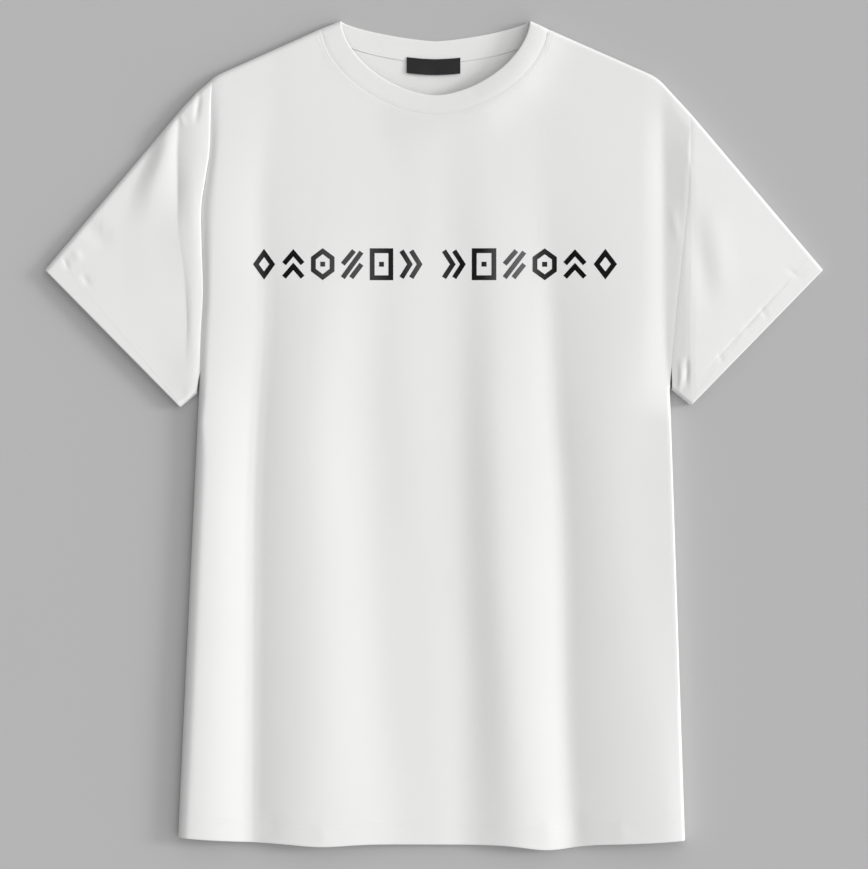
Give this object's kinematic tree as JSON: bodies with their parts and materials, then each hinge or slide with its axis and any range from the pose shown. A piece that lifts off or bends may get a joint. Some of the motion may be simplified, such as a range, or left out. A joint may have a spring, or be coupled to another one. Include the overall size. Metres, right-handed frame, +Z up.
{
  "type": "t-shirt",
  "caption": "Plain crew-neck T-shirt lying flat, front upwards, with short sleeves spread and long soft folds down the body.",
  "frame": {"origin": "on the surface that the shirt lies on, under the middle of its overall width and length", "axes": "+X towards the wearer's left sleeve, +Y towards the neck, +Z up from the surface through back and front"},
  "size_m": [0.7198, 0.7657, 0.0144],
  "materials": {
    "jersey": "matt white cotton jersey",
    "rib": "matt white ribbed cotton",
    "label": "black woven satin ribbon",
    "print": "thin matt black ink, fading to grey, on the chest"
  },
  "bodies": {
    "root": {"front_panel": "jersey", "back_panel": "jersey", "right_sleeve": "jersey", "left_sleeve": "jersey", "neckband": "rib", "neck_label": "label"}
  },
  "joints": []
}
